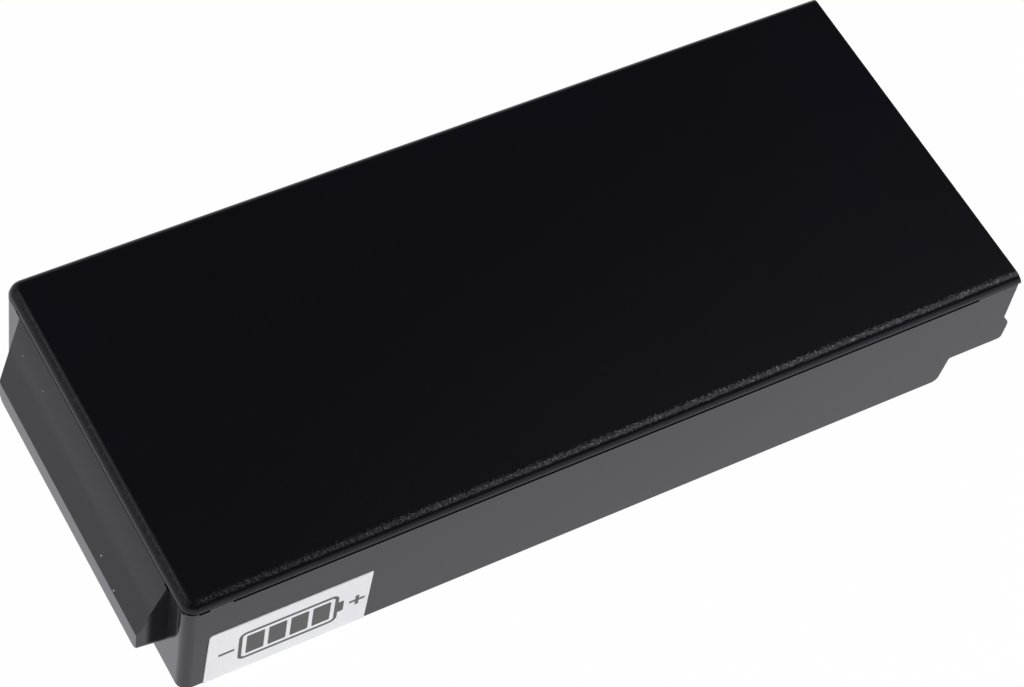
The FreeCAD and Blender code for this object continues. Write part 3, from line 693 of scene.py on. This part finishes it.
class DressStrips(bpy.types.Operator):
    """Gives the joining strips their rolled nickel"""

    bl_idname = "battery_pack.dress_strips"
    bl_label = "Dress strips"

    marks_scale = 4000.0
    marks_depth = 0.003 * MM
    marks_range = (0.3, 0.7)
    smudge_scale = 200.0
    rolled_shades = (0.85, 1.15)
    stain_shade = 0.8
    roughness_range = (0.24, 0.38)

    def execute(self, context):
        finish = context.scene.pack_finish
        material, tree, shader, place = new_finish("nickel")
        marks = use_group(tree, "Rolling marks", Vector=place, Scale=self.marks_scale)["Marks"]
        smudge = use_group(tree, "Handling marks", Vector=place, Scale=self.smudge_scale)["Smudge"]
        rolled = mix_shades(tree, marks, finish.nickel_colour, self.rolled_shades)
        stained = mix_colours(tree, smudge, rolled, opaque(finish.nickel_colour, self.stain_shade))
        feed(tree, shader.inputs["Base Color"], stained)
        shader.inputs["Metallic"].default_value = 1.0
        roughness = carry_range(tree, marks, *self.marks_range, *self.roughness_range)
        feed(tree, shader.inputs["Roughness"], roughness)
        raise_surface(tree, shader, marks, self.marks_depth)
        dress(STRIPS, material)
        return {"FINISHED"}


class DressContacts(bpy.types.Operator):
    """Gives the contacts their plating with rubbed marks"""

    bl_idname = "battery_pack.dress_contacts"
    bl_label = "Dress contacts"

    marks_scale = 2500.0
    marks_depth = 0.003 * MM
    smudge_scale = 350.0
    plating_shades = (0.9, 1.1)
    smudge_shade = 0.75
    roughness_range = (0.2, 0.36)

    def execute(self, context):
        finish = context.scene.pack_finish
        material, tree, shader, place = new_finish("contact_plating")
        marks = use_group(tree, "Rolling marks", Vector=place, Scale=self.marks_scale)["Marks"]
        smudge = use_group(tree, "Handling marks", Vector=place, Scale=self.smudge_scale)["Smudge"]
        bright = mix_shades(tree, marks, finish.plating_colour, self.plating_shades)
        smudged = mix_colours(tree, smudge, bright, opaque(finish.plating_colour, self.smudge_shade))
        feed(tree, shader.inputs["Base Color"], smudged)
        shader.inputs["Metallic"].default_value = 1.0
        feed(tree, shader.inputs["Roughness"], between(tree, smudge, *self.roughness_range))
        raise_surface(tree, shader, marks, self.marks_depth)
        dress(CONTACTS, material)
        return {"FINISHED"}


class DressSheetAndPads(bpy.types.Operator):
    """Gives the insulating sheet its pressed paper and the pads their open foam"""

    bl_idname = "battery_pack.dress_sheet_and_pads"
    bl_label = "Dress sheet and pads"

    fibre_stretch = (1.0, 3.0, 1.0)
    fibre_scale = 900.0
    fibre_depth = 0.02 * MM
    mottle_range = (0.3, 0.7)
    paper_shades = (0.85, 1.1)
    paper_roughness = (0.7, 0.85)
    pore_scale = 2200.0
    pore_depth = 0.15 * MM
    pore_range = (0.1, 0.6)
    foam_shades = (0.4, 1.2)
    foam_roughness = (0.95, 0.8)

    def execute(self, context):
        finish = context.scene.pack_finish
        self.dress_sheet(finish)
        self.dress_pads(finish)
        return {"FINISHED"}

    def dress_sheet(self, finish):
        """Pressed paper: short fibres that lighten and darken it."""
        material, tree, shader, place = new_finish("insulating_paper")
        drawn = stretch(tree, place, self.fibre_stretch)
        fibres = noise(tree, drawn, self.fibre_scale, detail=5.0, roughness=0.65, distortion=0.8)
        mottle = fade(tree, fibres, *self.mottle_range)
        colour = mix_shades(tree, mottle, finish.paper_colour, self.paper_shades)
        feed(tree, shader.inputs["Base Color"], colour)
        feed(tree, shader.inputs["Roughness"], between(tree, mottle, *self.paper_roughness))
        raise_surface(tree, shader, fibres, self.fibre_depth)
        dress(["insulating_sheet"], material)

    def dress_pads(self, finish):
        """Foam: pores painted dark as their shade, between lighter walls of a cell pattern."""
        material, tree, shader, place = new_finish("foam")
        pores = cell_pattern(tree, place, self.pore_scale)
        walls = fade(tree, pores["Distance"], *self.pore_range)
        # The darker shade of the foam colour in the pores is painted shade
        colour = mix_shades(tree, walls, finish.foam_colour, self.foam_shades)
        feed(tree, shader.inputs["Base Color"], colour)
        feed(tree, shader.inputs["Roughness"], between(tree, walls, *self.foam_roughness))
        raise_surface(tree, shader, walls, self.pore_depth)
        dress(PADS, material)


class DressBoardAndFuse(bpy.types.Operator):
    """Gives the board its solder mask over woven glass and the fuse its dipped resin"""

    bl_idname = "battery_pack.dress_board_and_fuse"
    bl_label = "Dress board and fuse"

    thread_scale = 9000.0
    weave_depth = 0.01 * MM
    smudge_scale = 150.0
    board_shades = (0.85, 1.15)
    board_roughness = (0.25, 0.4)
    wave_scale = 600.0
    wave_depth = 0.05 * MM
    wave_range = (0.3, 0.7)
    fuse_shades = (0.8, 1.15)
    fuse_roughness = (0.15, 0.28)

    def execute(self, context):
        finish = context.scene.pack_finish
        self.dress_board(finish)
        self.dress_fuse(finish)
        return {"FINISHED"}

    def dress_board(self, finish):
        """Solder mask: the crossed threads of the glass cloth show through as a faint check."""
        material, tree, shader, place = new_finish("board")
        axes = split_axes(tree, place)
        turns = [calculate(tree, "MULTIPLY", axes[axis], self.thread_scale) for axis in (0, 1)]
        threads = [calculate(tree, "SINE", turn) for turn in turns]
        weave = fade(tree, calculate(tree, "MULTIPLY", *threads), -1.0, 1.0)
        smudge = use_group(tree, "Handling marks", Vector=place, Scale=self.smudge_scale)["Smudge"]
        colour = mix_shades(tree, weave, finish.board_colour, self.board_shades)
        feed(tree, shader.inputs["Base Color"], colour)
        feed(tree, shader.inputs["Roughness"], between(tree, smudge, *self.board_roughness))
        raise_surface(tree, shader, weave, self.weave_depth)
        dress(["contact_board"], material)

    def dress_fuse(self, finish):
        """Dipped resin: a glossy skin with slow waves."""
        material, tree, shader, place = new_finish("fuse_body")
        waves = noise(tree, place, self.wave_scale, detail=1.0)
        colour = mix_shades(tree, waves, finish.fuse_colour, self.fuse_shades)
        feed(tree, shader.inputs["Base Color"], colour)
        roughness = carry_range(tree, waves, *self.wave_range, *self.fuse_roughness)
        feed(tree, shader.inputs["Roughness"], roughness)
        raise_surface(tree, shader, waves, self.wave_depth)
        dress(["resettable_fuse"], material)


class SetStage(bpy.types.Operator):
    """Makes the white floor, the soft lamps, the world and the camera"""

    bl_idname = "battery_pack.set_stage"
    bl_label = "Set stage"

    floor_turns = 96
    floor_rings = 8
    # The paler strip on the floor, along x
    strip_start = -81.5 * MM
    strip_peak = -76.2 * MM
    strip_end = -75.2 * MM
    # The world's band fades from this height up to the ceiling's, which is greater behind the ridge end
    horizon_height = 0.08
    behind_range = (0.3, 0.9)
    ceiling_heights = (0.3, 1.1)

    def execute(self, context):
        stage = context.scene.pack_stage
        self.make_floor(context, stage)
        self.make_world(context, stage)
        self.make_lamp(context, "soft_box", stage.box_place, stage.box_sides, stage.box_power)
        self.make_lamp(context, "edge_box", stage.edge_place, stage.edge_sides, stage.edge_power)
        plain = self.make_lamp(
            context, "plain_lamp", stage.plain_place, stage.plain_sides, stage.plain_power
        )
        plain.rotation_euler = (-plain.location).to_track_quat("-Z", "Y").to_euler()
        plain.visible_glossy = False
        self.make_camera(context, stage)
        context.scene.view_settings.view_transform = "Standard"
        return {"FINISHED"}

    def make_floor(self, context, stage):
        """A flat disc: a radius that grows outwards times the cosine and sine of an angle."""
        turns = np.linspace(0.0, 2.0 * math.pi, self.floor_turns, endpoint=False)
        radii = np.linspace(0.0, 1.0, self.floor_rings + 1)[1:] ** 2 * stage.floor_radius
        ring = np.stack([np.cos(turns), np.sin(turns), np.zeros_like(turns)], axis=1)
        points = np.concatenate([np.zeros((1, 3)), (radii[:, None, None] * ring[None]).reshape(-1, 3)])
        points[:, 2] -= stage.floor_gap
        here = np.arange(len(turns))
        after = (here + 1) % len(turns)
        fan = np.stack([np.zeros_like(here), here + 1, after + 1], axis=1)
        inner = 1 + len(turns) * np.arange(len(radii) - 1)[:, None]
        outer = inner + len(turns)
        quads = np.stack([inner + here, outer + here, outer + after, inner + after], axis=2)
        mesh = bpy.data.meshes.new("floor")
        mesh.from_pydata(points.tolist(), [], fan.tolist() + quads.reshape(-1, 4).tolist())
        floor = bpy.data.objects.new("floor", mesh)
        context.scene.collection.objects.link(floor)
        floor.data.materials.append(self.floor_finish(stage))

    def floor_finish(self, stage):
        """White to the camera and pale in reflections, with a little shadow; clear from below."""
        material = bpy.data.materials.new("floor_white")
        material.use_nodes = True
        tree = material.node_tree
        tree.nodes.clear()
        path = add_node(tree, "ShaderNodeLightPath").outputs
        camera_ray = path["Is Camera Ray"]
        lit = add_node(tree, "ShaderNodeBsdfDiffuse")
        lit.inputs["Color"].default_value = opaque(stage.floor_colour)
        white = add_node(tree, "ShaderNodeEmission")
        strip = self.strip_mask(tree)
        shine = mix_colours(tree, strip, opaque(stage.floor_shine), opaque(stage.strip_shine))
        feed(tree, white.inputs["Color"], mix_colours(tree, camera_ray, shine, opaque(WHITE)))
        seen = fold(tree, "MAXIMUM", camera_ray, path["Is Glossy Ray"], path["Is Transmission Ray"])
        share = calculate(tree, "MULTIPLY", seen, stage.floor_white)
        upper = self.mix_shaders(tree, share, lit, white)
        below = add_node(tree, "ShaderNodeNewGeometry").outputs["Backfacing"]
        sided = self.mix_shaders(tree, below, upper, add_node(tree, "ShaderNodeBsdfTransparent"))
        leave = add_node(tree, "ShaderNodeOutputMaterial")
        feed(tree, leave.inputs["Surface"], sided.outputs[0])
        return material

    def strip_mask(self, tree):
        """Mask of the paler strip: it rises slowly along x to its peak and falls off quickly."""
        along = split_axes(tree, add_node(tree, "ShaderNodeTexCoord").outputs["Object"])["X"]
        rise = fade(tree, along, self.strip_start, self.strip_peak)
        fall = fade(tree, along, self.strip_end, self.strip_peak)
        return calculate(tree, "MULTIPLY", rise, fall)

    def mix_shaders(self, tree, share, first, second):
        """Goes from the first shader node to the second by a share."""
        node = add_node(tree, "ShaderNodeMixShader")
        feed(tree, node.inputs[0], share)
        feed(tree, node.inputs[1], first.outputs[0])
        feed(tree, node.inputs[2], second.outputs[0])
        return node

    def make_world(self, context, stage):
        """A pale band under a dark ceiling; the band reaches higher behind the ridge end."""
        world = bpy.data.worlds.new("studio")
        context.scene.world = world
        world.use_nodes = True
        tree = world.node_tree
        axes = split_axes(tree, add_node(tree, "ShaderNodeTexCoord").outputs["Generated"])
        behind = calculate(tree, "SUBTRACT", axes["Y"], axes["X"])
        ceiling = carry_range(tree, behind, *self.behind_range, *self.ceiling_heights)
        share = fade(tree, axes["Z"], self.horizon_height, ceiling)
        colour = mix_colours(tree, share, opaque(stage.horizon_colour), opaque(stage.ceiling_colour))
        feed(tree, tree.nodes["Background"].inputs["Color"], colour)

    def make_lamp(self, context, name, place, sides, power):
        """A soft lamp at a place, shining straight down."""
        data = bpy.data.lights.new(name, "AREA")
        data.shape = "RECTANGLE"
        data.size, data.size_y = sides
        data.energy = power
        lamp = bpy.data.objects.new(name, data)
        lamp.location = place
        context.scene.collection.objects.link(lamp)
        return lamp

    def make_camera(self, context, stage):
        """A camera that looks from its place to its target, turned about that line by the roll."""
        data = bpy.data.cameras.new("camera")
        data.sensor_fit = "HORIZONTAL"
        data.sensor_width = SENSOR_WIDTH
        data.lens = stage.camera_lens
        camera = bpy.data.objects.new("camera", data)
        sight = Vector(stage.camera_target) - Vector(stage.camera_place)
        turn = sight.to_track_quat("-Z", "Y") @ Quaternion((0.0, 0.0, 1.0), stage.camera_roll)
        camera.location = stage.camera_place
        camera.rotation_euler = turn.to_euler()
        context.scene.collection.objects.link(camera)
        context.scene.camera = camera


STEPS = (
    DressCover,
    DressHousing,
    DressLabel,
    DressCells,
    DressStrips,
    DressContacts,
    DressSheetAndPads,
    DressBoardAndFuse,
    SetStage,
)


class PackPanel(bpy.types.Panel):
    """Lists the steps that dress the battery pack, and the values they use"""

    bl_idname = "VIEW3D_PT_battery_pack"
    bl_label = "Battery pack"
    bl_space_type = "VIEW_3D"
    bl_region_type = "UI"
    bl_category = "Battery pack"

    def draw(self, context):
        for step in STEPS:
            self.layout.operator(step.bl_idname)
        for group in (context.scene.pack_finish, context.scene.label_print, context.scene.pack_stage):
            box = self.layout.box()
            for name in group.__annotations__:
                box.prop(group, name)


CLASSES = (PackFinish, LabelPrint, StageSettings, *STEPS, PackPanel)


def register():
    """Registers the classes and hangs the settings on the scene."""
    for item in CLASSES:
        bpy.utils.register_class(item)
    bpy.types.Scene.pack_finish = PointerProperty(type=PackFinish)
    bpy.types.Scene.label_print = PointerProperty(type=LabelPrint)
    bpy.types.Scene.pack_stage = PointerProperty(type=StageSettings)


def unregister():
    """Takes the settings off the scene and unregisters the classes."""
    del bpy.types.Scene.pack_stage
    del bpy.types.Scene.label_print
    del bpy.types.Scene.pack_finish
    for item in reversed(CLASSES):
        bpy.utils.unregister_class(item)


def main():
    register()
    bpy.ops.battery_pack.dress_cover()
    bpy.ops.battery_pack.dress_housing()
    bpy.ops.battery_pack.dress_label()
    bpy.ops.battery_pack.dress_cells()
    bpy.ops.battery_pack.dress_strips()
    bpy.ops.battery_pack.dress_contacts()
    bpy.ops.battery_pack.dress_sheet_and_pads()
    bpy.ops.battery_pack.dress_board_and_fuse()
    bpy.ops.battery_pack.set_stage()


if __name__ == "__main__":
    main()
